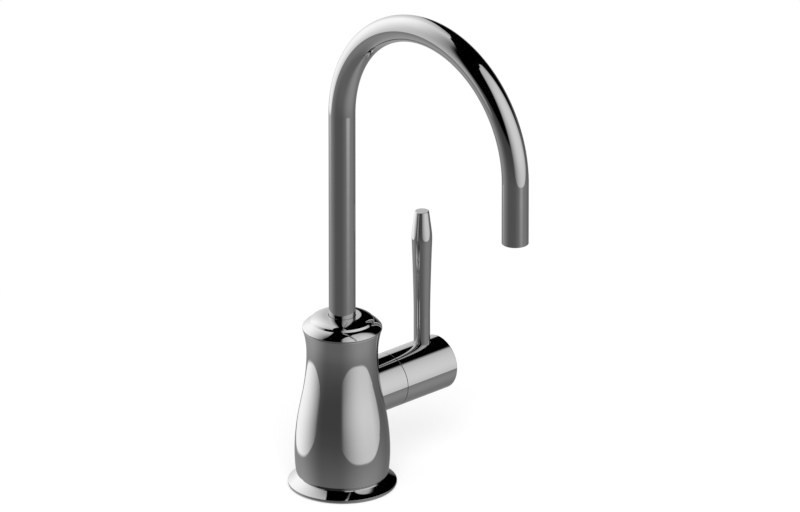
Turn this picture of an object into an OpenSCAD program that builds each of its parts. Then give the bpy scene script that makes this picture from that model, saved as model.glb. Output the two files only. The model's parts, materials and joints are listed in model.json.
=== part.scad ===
// Drinking water filter tap: a bell-shaped body with a swivelling gooseneck spout
// and a quarter-turn ceramic valve in a horn at its side, worked by a slim lever.
// Millimetres, +Z up. The origin is on the body's axis, in the face that stands on the worktop.
// The spout points along -Y and the valve horn along +X.

/* [Spout] */
// Outside diameter of the spout tube
spout_od = 12.7; // [11:0.1:14]
// Wall of the spout tube
spout_wall = 1; // [0.8:0.1:1.5]
// Height of the top of the bend above the worktop
spout_h = 253.8; // [210:0.1:320]
// Distance from the body's axis to the outlet's axis
spout_reach = 116.8; // [90:0.1:150]
// Straight length of tube at the outlet
spout_drop = 30.2; // [15:0.1:45]
// Length of the stream straightener in the outlet
straightener_l = 9; // [6:0.5:12]
// Diameter of one water hole in the stream straightener
straightener_hole_d = 1.2; // [0.8:0.1:1.4]

/* [Body] */
// Diameter of the body at its belly
belly_d = 45.3; // [44:0.1:50]
// Height of the belly above the worktop
belly_z = 16.4; // [13:0.1:22]
// Diameter of the body at its waist
waist_d = 33.9; // [33:0.1:38]
// Height of the waist above the worktop
waist_z = 65.4; // [62:0.1:72]
// Diameter of the body at its top edge
body_top_d = 37.6; // [35:0.1:41]
// Height of the body's top edge above the worktop
body_top_z = 79.6; // [77:0.1:86]
// Diameter of the body at its foot
foot_d = 43.8; // [41:0.1:45]

/* [Base ring] */
// Diameter of the base ring
base_d = 51.6; // [49:0.1:60]
// Thickness of the base ring at its rounded rim
base_rim_t = 2.4; // [2:0.1:4.4]
// Height of the base ring where the body stands on it
base_h = 6.4; // [5.5:0.1:8]
// Diameter of the ring's top land, round the body's foot
base_land_d = 43.2; // [42:0.1:45]
// Height of the steep step below that land
base_step_h = 1.7; // [0.8:0.1:2.4]
// Diameter of the ring at the foot of the step, where the slope to the rim begins
base_step_d = 44.6; // [43.6:0.1:47]
// Diameter of the boss under the body that centres the base ring
register_d = 32; // [28:0.5:34]
// Length of that boss
register_l = 4; // [2:0.1:4.5]
// Inside diameter of the base gasket
gasket_id = 38; // [36:0.1:40]
// Width of the base gasket
gasket_w = 4; // [2.5:0.1:4.5]
// Thickness of the base gasket
gasket_t = 1.6; // [1:0.1:2.4]

/* [Top cap] */
// Diameter of the domed top cap
cap_d = 37.8; // [36:0.1:41]
// Height of the straight edge at the cap's rim
cap_edge_h = 0.8; // [0.4:0.1:1.5]
// Rise of the dome above that edge
cap_rise = 6.1; // [5.5:0.1:8]
// Diameter of the level middle of the dome
cap_level_d = 20.4; // [16:0.1:21]
// Radius of the shoulder between the level middle and the sloping side
cap_shoulder_r = 8; // [6.5:0.1:8.5]
// Diameter of the cap's screwed skirt
skirt_d = 26; // [25:0.1:27]
// Length of the cap's screwed skirt
skirt_l = 7; // [6:0.1:7.2]

/* [Spout socket] */
// Diameter of the spout collar's spigot
spigot_d = 15.2; // [14.6:0.1:16]
// Diameter of the spout collar's flange
collar_d = 21; // [20:0.1:21.4]
// Thickness of the spout collar's flange
collar_t = 2.4; // [1.6:0.1:2.6]
// Thickness of a slip ring
slip_ring_t = 1; // [0.6:0.1:1.4]
// Depth of the seat of the lower slip ring below the body's top edge
ledge_depth = 8.2; // [7.6:0.1:9]
// Height of the collar's sleeve above its flange
sleeve_l = 7; // [5:0.1:7.4]
// Cord diameter of a spout O-ring
spout_o_ring_cord = 1.8; // [1.4:0.1:2]

/* [Valve horn] */
// Height of the horn's axis above the worktop
horn_z = 44; // [43:0.1:46]
// Diameter of the horn
horn_d = 26.3; // [25:0.1:28]
// Distance from the body's axis to the seam between horn and handle
seam_u = 30.4; // [29.5:0.1:33]
// Gap at that seam
seam_gap = 0.3; // [0.2:0.05:0.5]
// Distance from the body's axis to the floor of the horn's pocket in the body
pocket_u = 12; // [11:0.1:13]
// Distance from the body's axis to the valve's seat
seat_u = 4.5; // [4:0.1:5]
// Diameter of the cartridge
cartridge_d = 17.8; // [17:0.1:18.4]
// Distance from the seam back to the shoulder that the cartridge sits on
shoulder_depth = 5.4; // [5:0.1:7]
// Diameter of the ceramic discs
disc_d = 14.6; // [13.6:0.1:15]
// Thickness of a ceramic disc
disc_t = 3; // [2.4:0.1:3.2]
// Thickness of the seat seal
seal_t = 2.6; // [2:0.1:3]
// Diameter of the spindle
spindle_d = 8; // [7:0.1:8.4]
// Length of the cartridge's neck past its flange
neck_l = 11; // [8:0.1:12]
// Distance across the flats of the gland nut
gland_af = 17; // [16:0.1:18]

/* [Handle] */
// Length of the handle hub
hub_l = 32.3; // [29:0.1:36]
// Radius on the hub's outer edge
hub_edge_r = 0.5; // [0.3:0.1:1.5]
// Distance from the seam to the lever's axis
lever_u = 21.8; // [20:0.1:24]
// Diameter of the lever where it meets the hub
lever_root_d = 7.8; // [7:0.1:8.4]
// Height above the horn's axis at which the lever begins to swell
lever_swell_h = 27; // [18:0.5:40]
// Diameter of the lever at its widest
lever_wide_d = 9.7; // [8.6:0.1:11]
// Height of the widest place above the horn's axis
lever_wide_h = 68; // [56:0.5:75]
// Radius of the rounded break above the widest place
lever_break_r = 25; // [10:1:60]
// Diameter of the lever's flat tip
lever_tip_d = 6.5; // [6:0.1:8]
// Height of the tip above the horn's axis
lever_h = 80.3; // [78:0.1:110]
// Diameter of the stud that screws the lever into the hub
lever_stud_d = 5; // [4:0.1:5.4]
// Diameter of the grub screw
grub_d = 4; // [3:0.1:5]

/* [Fixing] */
// Diameter of the threaded shank (7/16 inch)
shank_d = 11.11; // [9.5:0.01:13]
// Bore of the shank
shank_bore_d = 6.8; // [5:0.1:7.2]
// Length of the shank below the worktop's face
shank_l = 55; // [50:1:90]
// Length of thread that screws into the body
shank_grip = 16; // [12:0.5:20]
// Length of the shank's free end, where the supply coupling screws on
shank_end_l = 17.5; // [12:0.5:18]
// Worktop thickness that the fixings are drawn up to
worktop_t = 20; // [6:0.5:21]
// Diameter of the washers under the worktop
washer_d = 30; // [24:0.5:40]
// Thickness of the rubber washer
rubber_washer_t = 2.5; // [1.5:0.1:3]
// Thickness of the steel washer
steel_washer_t = 1.5; // [1:0.1:2]
// Distance across the flats of the fixing nut
nut_af = 17.5; // [16:0.1:20]
// Thickness of the fixing nut
nut_h = 6; // [4:0.1:7]

/* [Clearances] */
// Radial clearance of a turning fit
running_gap = 0.05; // [0.03:0.01:0.08]
// Radial clearance of a fixed fit
fit_gap = 0.06; // [0.03:0.01:0.1]
// Radial clearance where two pieces turn without touching
free_gap = 0.3; // [0.25:0.05:0.45]

/* [Hidden] */
$fn = 96;
cut = 1;

spout_r = spout_od / 2;
spout_bore_r = spout_r - spout_wall;
bend_r = spout_reach / 2;
spring_z = spout_h - spout_r - bend_r;
outlet_z = spring_z - spout_drop;

belly_r = belly_d / 2;
waist_r = waist_d / 2;
body_top_r = body_top_d / 2;
foot_r = foot_d / 2;
foot_z = base_h;
// Radius of an arc that leaves the upright and moves aside by step over a given rise
function arc_r(step, rise) = (step * step + rise * rise) / (2 * step);
// Belly and neck share one radius, a shade over the one at which they only touch, so that they cross
arc_overlap = 0.08;
side_curve_r = round(50 * arc_r(belly_r - waist_r, waist_z - belly_z)) / 100 + arc_overlap;
side_mid_z = (belly_z + waist_z) / 2;
// Turns the round shapes so that the line where each closes is away from the horn
seam_turn = 140;

base_r = base_d / 2;
rim_r = base_rim_t / 2;
base_land_r = base_land_d / 2;
register_r = register_d / 2;
register_z = base_h - register_l;
gasket_r = gasket_id / 2;
base_step_r = base_step_d / 2;
base_step_z = base_h - base_step_h;
// Where the straight slope from the step touches the round rim
slope_rise = base_step_z - rim_r;
slope_run = base_step_r - (base_r - rim_r);
rim_touch = atan2(slope_rise, slope_run) - acos(rim_r / norm([slope_rise, slope_run]));

cap_r = cap_d / 2;
cap_level_r = cap_level_d / 2;
cap_edge_z = body_top_z + cap_edge_h;
cap_top_z = cap_edge_z + cap_rise;
// Where the straight side, coming up from the edge, touches the shoulder
side_run = cap_r - cap_level_r;
side_rise = cap_shoulder_r - cap_rise;
shoulder_touch = atan2(side_rise, side_run) + acos(cap_shoulder_r / norm([side_run, side_rise]));
skirt_r = skirt_d / 2;

spigot_r = spigot_d / 2;
collar_r = collar_d / 2;
ledge_z = body_top_z - ledge_depth;
collar_z = ledge_z + slip_ring_t + running_gap;
upper_slip_z = collar_z + collar_t + running_gap;
cap_shoulder_z = upper_slip_z + slip_ring_t;
sleeve_top_z = collar_z + collar_t + sleeve_l;
sleeve_r = spout_r + 1.5;
tube_foot_z = collar_z + 1;
o_ring_r = spout_o_ring_cord / 2;
// What a groove is wider than its O-ring, and its distance from the shoulder beside it
groove_slack = 0.4;
groove_inset = 2;
o_ring_groove_w = spout_o_ring_cord + groove_slack;
o_ring_groove_r = spigot_r - spout_o_ring_cord - 0.05;

horn_r = horn_d / 2;
cartridge_r = cartridge_d / 2;
chamber_r = cartridge_r + fit_gap;
chamber_roof = 3.3;
socket_floor_z = horn_z + chamber_r + chamber_roof;
spigot_foot_z = socket_floor_z + 1.5;
shoulder_u = seam_u - shoulder_depth;
disc_r = disc_d / 2;
disc_cavity_r = disc_r + 0.1;
moving_disc_r = disc_cavity_r - free_gap - 0.1;
fixed_disc_u = seat_u + seal_t;
moving_disc_u = fixed_disc_u + disc_t + running_gap;
spindle_u = moving_disc_u + disc_t + running_gap;
spindle_r = spindle_d / 2;
spindle_collar_r = spindle_r + 1.5;
spindle_collar_t = 2.5;
cavity_end_u = spindle_u + spindle_collar_t + 1.3;
sleeve_u = fixed_disc_u - 1.1;
slim_end_u = cavity_end_u + 1;
slim_r = cartridge_r - 0.7;
flange_t = 1.5;
flange_r = cartridge_r + 1.1;
thread_r = flange_r + 0.2;
neck_r = spindle_r + 1.6;
neck_u = shoulder_u + flange_t;
window_r = 1.2;
window_u = spindle_u + spindle_collar_t / 2;
port_r = 1.5;
port_offset = 2.6;
seal_bore_r = port_offset + port_r + 0.1;
tongue_w = 3;
tongue_l = 9;
tongue_h = 1.4;
cartridge_cord_r = 0.85;
cartridge_groove_u = slim_end_u + groove_inset;
cartridge_groove_w = 2 * cartridge_cord_r + groove_slack;
spindle_cord_r = 0.6;
spindle_groove_u = neck_u + groove_inset;
spindle_groove_w = 2 * spindle_cord_r + groove_slack;
inlet_r = 3;
inlet_side_r = 2.6;
outlet_hole_r = 1.4;
outlet_hole_x = seat_u + outlet_hole_r + 0.2;

hub_u = seam_u + seam_gap;
gland_l = 3.5;
gland_head_l = 4;
gland_bore_r = neck_r + 0.3;
gland_head_r = gland_af / 2 / cos(30);
hub_cavity_r = thread_r + 0.7;
hub_cavity_l = neck_u + neck_l + 1 - hub_u;
spindle_grip = 11;
spindle_end_u = hub_u + hub_cavity_l + spindle_grip;
lever_x = seam_u + lever_u;
lever_seat_share = 0.92;
lever_seat_h = lever_seat_share * horn_r;
lever_stud_l = 5;
lever_root_r = lever_root_d / 2;
lever_wide_r = lever_wide_d / 2;
lever_tip_r = lever_tip_d / 2;
swell_power = 1.5;
// Where the straight taper, coming down from the tip, touches the rounded break
break_u = lever_wide_r - lever_break_r;
taper_run = lever_tip_r - break_u;
taper_rise = lever_h - lever_wide_h;
break_touch = atan2(taper_rise, taper_run) - acos(lever_break_r / norm([taper_run, taper_rise]));
grub_inset = 6;
grub_u = hub_u + hub_cavity_l + grub_inset;
grub_recess = 1.6;
grub_socket_r = grub_d * 0.29;
grub_socket_l = 2.4;

shank_r = shank_d / 2;
shank_top_z = register_z + shank_grip;
relief_l = 1.5;
relief_r = shank_r - 0.35;
rubber_washer_z = -worktop_t - rubber_washer_t;
steel_washer_z = rubber_washer_z - steel_washer_t;
nut_z = steel_washer_z - nut_h;
washer_gap = 0.35;
washer_bore_r = shank_r + washer_gap;

chrome = [0.8, 0.81, 0.83];
brass = [0.78, 0.63, 0.35];
steel = [0.6, 0.61, 0.63];
rubber = [0.1, 0.1, 0.1];
acetal = [0.93, 0.93, 0.9];
ceramic = [0.95, 0.94, 0.9];

// Ring standing on the plane z = 0
module ring(outer_r, inner_r, h) {
    difference() {
        cylinder(r = outer_r, h = h);
        translate([0, 0, -cut]) cylinder(r = inner_r, h = h + 2 * cut);
    }
}

// Cylindrical hole or post between two heights
module post(r, z0, z1) {
    translate([0, 0, z0]) cylinder(r = r, h = z1 - z0);
}

// Puts a shape on the horn's axis, u from the body's axis
module on_horn(u = 0) {
    translate([0, 0, horn_z]) rotate([0, 90, 0]) translate([0, 0, u]) children();
}

module o_ring(mid_r, cord_r) {
    rotate_extrude() translate([mid_r, 0]) circle(r = cord_r);
}

// Slice of the body's half section between two heights, before its arc is cut
module band(z0, z1) {
    translate([0, z0]) square([max(belly_r, foot_r, waist_r, body_top_r) + cut, z1 - z0]);
}

// Slice of the body's half section with one arc, upright where its radius is up_r. It bulges where
// the other end is the smaller and hollows where that end is the larger.
module arc_slice(up_r, up_z, end_r, end_z) {
    curve_r = round(100 * arc_r(abs(end_r - up_r), end_z - up_z)) / 100;
    if (end_r < up_r) {
        intersection() {
            band(min(up_z, end_z), max(up_z, end_z));
            translate([up_r - curve_r, up_z]) circle(r = curve_r, $fn = 240);
        }
    } else {
        difference() {
            band(min(up_z, end_z), max(up_z, end_z));
            translate([up_r + curve_r, up_z]) circle(r = curve_r, $fn = 240);
        }
    }
}

// Half section of the bell: foot, belly, neck and flare, each one arc, tangent to the next
module bell_section() {
    arc_slice(belly_r, belly_z, foot_r, foot_z);
    difference() {
        union() {
            intersection() {
                band(belly_z, waist_z);
                translate([belly_r - side_curve_r, belly_z]) circle(r = side_curve_r, $fn = 360);
            }
            band(side_mid_z, waist_z);
        }
        translate([waist_r + side_curve_r, waist_z]) circle(r = side_curve_r, $fn = 360);
    }
    arc_slice(waist_r, waist_z, body_top_r, body_top_z);
}

module body_shell() {
    color(chrome) difference() {
        union() {
            rotate([0, 0, seam_turn]) {
                rotate_extrude() bell_section();
                post(register_r, register_z, foot_z + cut);
            }
        }
        // screwed seat of the top cap, and the spout's socket below it
        post(skirt_r + fit_gap, ledge_z, body_top_z + cut);
        post(spigot_r + running_gap, socket_floor_z, ledge_z + cut);
        // pocket of the valve horn, and the valve chamber behind it
        on_horn(pocket_u) cylinder(r = horn_r + fit_gap, h = belly_r);
        on_horn(seat_u) cylinder(r = chamber_r, h = pocket_u - seat_u + cut);
        // waterways: up from the shank, across to the valve, and on to the spout
        rotate([0, 0, seam_turn]) post(inlet_r, shank_top_z - cut, horn_z);
        on_horn() cylinder(r = inlet_side_r, h = seat_u + cut);
        translate([outlet_hole_x, 0, 0]) post(outlet_hole_r, horn_z + disc_r, socket_floor_z + cut);
        post(shank_r + fit_gap, register_z - cut, shank_top_z);
    }
}

module valve_housing() {
    color(chrome) difference() {
        on_horn(pocket_u) cylinder(r = horn_r, h = seam_u - pocket_u);
        on_horn(pocket_u - cut) cylinder(r = chamber_r, h = shoulder_u - pocket_u + 2 * cut);
        on_horn(shoulder_u) cylinder(r = thread_r, h = shoulder_depth + cut);
    }
}

// Half section of the cap: level middle, round shoulder, sloping side and a short upright edge
module cap_section() {
    intersection() {
        translate([cap_level_r, cap_edge_z]) square([side_run, cap_rise + cut]);
        translate([cap_level_r, cap_top_z - cap_shoulder_r]) circle(r = cap_shoulder_r);
    }
    polygon([
        [0, body_top_z],
        [cap_r, body_top_z],
        [cap_r, cap_edge_z],
        [cap_level_r + cap_shoulder_r * cos(shoulder_touch),
            cap_top_z - cap_shoulder_r + cap_shoulder_r * sin(shoulder_touch)],
        [cap_level_r, cap_top_z],
        [0, cap_top_z]
    ]);
}

module top_cap() {
    color(chrome) difference() {
        union() {
            rotate_extrude() cap_section();
            post(skirt_r, body_top_z - skirt_l, body_top_z + cap_edge_h);
        }
        post(collar_r + free_gap, body_top_z - skirt_l - cut, cap_shoulder_z);
        post(sleeve_r + free_gap, cap_shoulder_z - cut, sleeve_top_z + free_gap);
        post(spout_r + free_gap, sleeve_top_z, cap_top_z + cut);
    }
}

// Half section of the base ring: rounded rim, a straight slope, and a steep step up to the land
module base_section() {
    translate([base_r - rim_r, rim_r]) circle(r = rim_r);
    polygon([
        [register_r + fit_gap, 0],
        [base_r - rim_r, 0],
        [base_r - rim_r + rim_r * cos(rim_touch), rim_r + rim_r * sin(rim_touch)],
        [base_step_r, base_step_z],
        [base_land_r, base_h],
        [register_r + fit_gap, base_h]
    ]);
}

module base_ring() {
    color(chrome) difference() {
        rotate_extrude() base_section();
        translate([0, 0, -cut])
            ring(gasket_r + gasket_w + fit_gap, gasket_r - fit_gap, gasket_t + cut);
    }
}

module base_gasket() {
    color(rubber) ring(gasket_r + gasket_w, gasket_r, gasket_t);
}

module shank() {
    color(brass) difference() {
        post(shank_r, -shank_l, shank_top_z);
        post(shank_bore_d / 2, -shank_l - cut, shank_top_z + cut);
        translate([0, 0, -shank_l + shank_end_l]) ring(shank_r + cut, relief_r, relief_l);
    }
}

module rubber_washer() {
    color(rubber) translate([0, 0, rubber_washer_z])
        ring(washer_d / 2, washer_bore_r, rubber_washer_t);
}

module steel_washer() {
    color(steel) translate([0, 0, steel_washer_z])
        ring(washer_d / 2, washer_bore_r, steel_washer_t);
}

module fixing_nut() {
    color(brass) translate([0, 0, nut_z]) difference() {
        cylinder(r = nut_af / 2 / cos(30), h = nut_h, $fn = 6);
        translate([0, 0, -cut]) cylinder(r = shank_r + fit_gap, h = nut_h + 2 * cut);
    }
}

module lower_slip_ring() {
    color(acetal) translate([0, 0, ledge_z])
        ring(collar_r, spigot_r + free_gap, slip_ring_t);
}

module upper_slip_ring() {
    color(acetal) translate([0, 0, upper_slip_z])
        ring(collar_r, sleeve_r + free_gap, slip_ring_t);
}

module cartridge_body() {
    color(brass) difference() {
        union() {
            on_horn(sleeve_u) cylinder(r = slim_r, h = slim_end_u - sleeve_u + cut);
            on_horn(slim_end_u) cylinder(r = cartridge_r, h = shoulder_u - slim_end_u + cut);
            on_horn(shoulder_u) cylinder(r = flange_r, h = flange_t);
            on_horn(shoulder_u) cylinder(r = neck_r, h = flange_t + neck_l);
        }
        on_horn(sleeve_u - cut) cylinder(r = disc_cavity_r, h = cavity_end_u - sleeve_u + cut);
        on_horn(cavity_end_u - cut) cylinder(r = spindle_r + running_gap, h = hub_l);
        // two water windows, and the groove of the O-ring
        translate([window_u, 0, horn_z]) rotate([90, 0, 0])
            cylinder(r = window_r, h = 4 * cartridge_r, center = true);
        on_horn(cartridge_groove_u)
            ring(cartridge_r + cut, cartridge_r - 2 * cartridge_cord_r, cartridge_groove_w);
    }
}

module cartridge_o_ring() {
    color(rubber) on_horn(cartridge_groove_u + cartridge_groove_w / 2)
        o_ring(cartridge_r - cartridge_cord_r + running_gap, cartridge_cord_r);
}

module seat_seal() {
    color(rubber) on_horn(seat_u) ring(disc_r, seal_bore_r, seal_t);
}

// Ceramic disc with two ports, its faces square to the horn
module ported_disc(r, port_turn) {
    difference() {
        cylinder(r = r, h = disc_t);
        for (side = [-1, 1])
            rotate([0, 0, port_turn]) translate([side * port_offset, 0, -cut])
                cylinder(r = port_r, h = disc_t + 2 * cut);
    }
}

module fixed_disc() {
    color(ceramic) on_horn(fixed_disc_u) ported_disc(disc_r, 0);
}

module gland_nut() {
    color(brass) difference() {
        union() {
            on_horn(neck_u) cylinder(r = thread_r - fit_gap, h = gland_l);
            on_horn(neck_u + gland_l) cylinder(r = gland_head_r, h = gland_head_l, $fn = 6);
        }
        on_horn(neck_u - cut) cylinder(r = gland_bore_r, h = gland_l + gland_head_l + 2 * cut);
    }
}

// Gooseneck: riser, half-turn bend and straight outlet, as one run of a given radius
module gooseneck(r, foot_z, end_z) {
    post(r, foot_z, spring_z);
    translate([0, -bend_r, spring_z]) rotate([0, -90, 0]) rotate([0, 0, -90])
        rotate_extrude(angle = 180) translate([bend_r, 0]) circle(r = r);
    translate([0, -spout_reach, 0]) post(r, end_z, spring_z);
}

module spout_tube() {
    color(chrome) difference() {
        gooseneck(spout_r, tube_foot_z, outlet_z);
        gooseneck(spout_bore_r, tube_foot_z - cut, outlet_z - cut);
    }
}

module spout_collar() {
    color(brass) difference() {
        union() {
            post(spigot_r, spigot_foot_z, collar_z + cut);
            post(collar_r, collar_z, collar_z + collar_t);
            post(sleeve_r, collar_z, sleeve_top_z);
        }
        post(spout_bore_r, spigot_foot_z - cut, tube_foot_z + cut);
        post(spout_r + fit_gap, tube_foot_z, sleeve_top_z + cut);
        for (z = o_ring_heights())
            translate([0, 0, z - o_ring_groove_w / 2])
                ring(spigot_r + cut, o_ring_groove_r, o_ring_groove_w);
    }
}

// Heights of the two spout O-rings, shared out along the spigot
function o_ring_heights() =
    let (run = ledge_z - spigot_foot_z) [spigot_foot_z + run * 0.28, spigot_foot_z + run * 0.7];

module spout_o_rings() {
    color(rubber) for (z = o_ring_heights())
        translate([0, 0, z]) o_ring(spigot_r - o_ring_r, o_ring_r);
}

// Sleeve with a plate of water holes in rings of six and twelve round one
module stream_straightener() {
    plate_t = 3;
    r = spout_bore_r - fit_gap;
    pitch = r / 3.2;
    color(acetal) translate([0, -spout_reach, outlet_z + spout_wall]) difference() {
        cylinder(r = r, h = straightener_l);
        translate([0, 0, plate_t]) cylinder(r = r - 0.8, h = straightener_l);
        translate([0, 0, -cut]) cylinder(d = straightener_hole_d, h = plate_t + 2 * cut);
        for (row = [1, 2], i = [0 : 6 * row - 1])
            rotate([0, 0, i * 60 / row]) translate([row * pitch, 0, -cut])
                cylinder(d = straightener_hole_d, h = plate_t + 2 * cut);
    }
}

// Half section of the hub, with its rounded outer edge
module hub_section() {
    square([horn_r, hub_l - hub_edge_r]);
    square([horn_r - hub_edge_r, hub_l]);
    translate([horn_r - hub_edge_r, hub_l - hub_edge_r]) circle(r = hub_edge_r);
}

module handle_hub() {
    color(chrome) difference() {
        on_horn(hub_u) rotate_extrude() hub_section();
        on_horn(hub_u - cut) cylinder(r = hub_cavity_r, h = hub_cavity_l + cut);
        on_horn(hub_u) cylinder(r = spindle_r + fit_gap, h = hub_cavity_l + spindle_grip + 0.5);
        // seat and thread of the lever above, thread of the grub screw below
        translate([lever_x, 0, horn_z]) {
            post(lever_root_r + fit_gap, lever_seat_h, horn_r + cut);
            post(lever_stud_d / 2 + fit_gap, lever_seat_h - lever_stud_l - 0.5, horn_r);
        }
        translate([grub_u, 0, horn_z]) post(grub_d / 2 + fit_gap, -horn_r - cut, 0);
    }
}

// Radius of the lever at a share of the way up its swelling part
function swell(share) = lever_root_r + (lever_wide_r - lever_root_r) * pow(share, swell_power);

// Half section of the lever: straight foot, slow swelling, a rounded break and a straight taper to the tip
module lever_section() {
    polygon(concat(
        [[0, lever_wide_h], [0, lever_seat_h], [lever_root_r, lever_seat_h]],
        [for (i = [0 : 8]) [swell(i / 8), lever_swell_h + (lever_wide_h - lever_swell_h) * i / 8]]
    ));
    intersection() {
        translate([0, lever_wide_h]) square([lever_wide_r + cut, taper_rise]);
        translate([break_u, lever_wide_h]) circle(r = lever_break_r, $fn = 240);
    }
    polygon([
        [0, lever_wide_h],
        [break_u + lever_break_r * cos(break_touch), lever_wide_h + lever_break_r * sin(break_touch)],
        [lever_tip_r, lever_h],
        [0, lever_h]
    ]);
}

module lever() {
    color(chrome) translate([lever_x, 0, horn_z]) {
        post(lever_stud_d / 2, lever_seat_h - lever_stud_l, lever_seat_h + cut);
        rotate_extrude() lever_section();
    }
}

module grub_screw() {
    grub_l = horn_r - grub_recess - spindle_r - fit_gap;
    color(steel) translate([grub_u, 0, horn_z - horn_r + grub_recess]) difference() {
        cylinder(d = grub_d, h = grub_l);
        translate([0, 0, -cut]) cylinder(r = grub_socket_r, h = grub_socket_l + cut, $fn = 6);
    }
}

module spindle() {
    color(brass) difference() {
        union() {
            on_horn(spindle_u) cylinder(r = spindle_collar_r, h = spindle_collar_t);
            on_horn(spindle_u) cylinder(r = spindle_r, h = spindle_end_u - spindle_u);
            on_horn(spindle_u - tongue_h)
                translate([-tongue_w / 2, -tongue_l / 2, 0]) cube([tongue_w, tongue_l, tongue_h + cut]);
        }
        on_horn(spindle_groove_u)
            ring(spindle_r + cut, spindle_r - 2 * spindle_cord_r, spindle_groove_w);
    }
}

module spindle_o_ring() {
    color(rubber) on_horn(spindle_groove_u + spindle_groove_w / 2)
        o_ring(spindle_r - spindle_cord_r, spindle_cord_r);
}

module moving_disc() {
    slot_gap = 0.1;
    color(ceramic) difference() {
        on_horn(moving_disc_u) ported_disc(moving_disc_r, 90);
        on_horn(spindle_u - tongue_h - slot_gap)
            translate([-tongue_w / 2 - slot_gap, -tongue_l / 2 - slot_gap, 0])
                cube([tongue_w + 2 * slot_gap, tongue_l + 2 * slot_gap, tongue_h + cut]);
    }
}

body_shell();
valve_housing();
top_cap();
base_ring();
base_gasket();
shank();
rubber_washer();
steel_washer();
fixing_nut();
lower_slip_ring();
upper_slip_ring();
cartridge_body();
cartridge_o_ring();
seat_seal();
fixed_disc();
gland_nut();
spout_tube();
spout_collar();
spout_o_rings();
stream_straightener();
handle_hub();
lever();
grub_screw();
spindle();
spindle_o_ring();
moving_disc();
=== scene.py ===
import json
import math

import bpy
import numpy as np
from mathutils import Matrix, Vector


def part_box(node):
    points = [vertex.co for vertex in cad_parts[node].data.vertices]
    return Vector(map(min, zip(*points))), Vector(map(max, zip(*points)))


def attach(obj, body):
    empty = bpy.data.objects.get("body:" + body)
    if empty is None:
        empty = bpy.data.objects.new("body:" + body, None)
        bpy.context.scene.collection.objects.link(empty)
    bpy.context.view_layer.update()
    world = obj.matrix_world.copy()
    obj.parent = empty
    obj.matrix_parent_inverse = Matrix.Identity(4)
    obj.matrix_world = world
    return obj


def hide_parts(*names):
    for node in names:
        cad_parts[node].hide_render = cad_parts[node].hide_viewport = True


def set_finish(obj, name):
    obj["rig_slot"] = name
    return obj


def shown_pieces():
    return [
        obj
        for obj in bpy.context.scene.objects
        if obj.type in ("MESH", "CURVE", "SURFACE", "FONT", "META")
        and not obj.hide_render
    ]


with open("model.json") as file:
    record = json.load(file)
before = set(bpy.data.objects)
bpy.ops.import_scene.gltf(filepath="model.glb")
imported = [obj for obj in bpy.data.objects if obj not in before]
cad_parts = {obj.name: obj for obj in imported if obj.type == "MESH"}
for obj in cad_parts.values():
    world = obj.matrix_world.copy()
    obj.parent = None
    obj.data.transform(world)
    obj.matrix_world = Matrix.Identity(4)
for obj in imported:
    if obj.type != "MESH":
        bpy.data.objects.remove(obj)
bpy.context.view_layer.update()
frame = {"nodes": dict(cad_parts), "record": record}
mm = 0.001  # sizes below are in millimetres, the frame is in metres
print("stage: frame loaded,", len(frame["nodes"]), "nodes")


# Lowest and highest corner of a CAD node, in millimetres
def boxMm(node):
    low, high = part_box(node)
    return np.array(low) / mm, np.array(high) / mm


hornLow, hornHigh = boxMm("valve_housing")
hubLow, hubHigh = boxMm("handle_hub")
leverLow, leverHigh = boxMm("lever")
grubLow, grubHigh = boxMm("grub_screw")
hornZ = (hornLow[2] + hornHigh[2]) / 2
leverX = (leverLow[0] + leverHigh[0]) / 2
grubX = (grubLow[0] + grubHigh[0]) / 2
fitGap = 0.06  # between pieces that are fixed in each other
cornerSteps = 6  # parts of the arc at a rounded corner
lipSteps = 4  # parts of the arc round a hole's mouth
meanPoints = 21  # points that a running mean takes in


# An axis is its origin, its direction and two directions across it, right-handed in that order
def axisFrom(origin, along, across, up):
    return [np.array(v, float) for v in (origin, along, across, up)]


uprightAxis = axisFrom((0, 0, 0), (0, 0, 1), (1, 0, 0), (0, 1, 0))
hornAxis = axisFrom((0, 0, hornZ), (1, 0, 0), (0, 1, 0), (0, 0, 1))
leverAxis = axisFrom((leverX, 0, hornZ), (0, 0, 1), (1, 0, 0), (0, 1, 0))
grubAxis = axisFrom((grubX, 0, hornZ), (0, 0, -1), (1, 0, 0), (0, -1, 0))


# Direction at an angle round an axis: so much outwards, and so much along it
def directed(axis, outward, forward, angle):
    outward, forward, angle = np.broadcast_arrays(outward, forward, angle)
    side = np.cos(angle)[..., None] * axis[2] + np.sin(angle)[..., None] * axis[3]
    return outward[..., None] * side + forward[..., None] * axis[1]


# Point at an angle round an axis: so far out from it, and so far along it
def placed(axis, radius, distance, angle):
    return axis[0] + directed(axis, radius, distance, angle)


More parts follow.
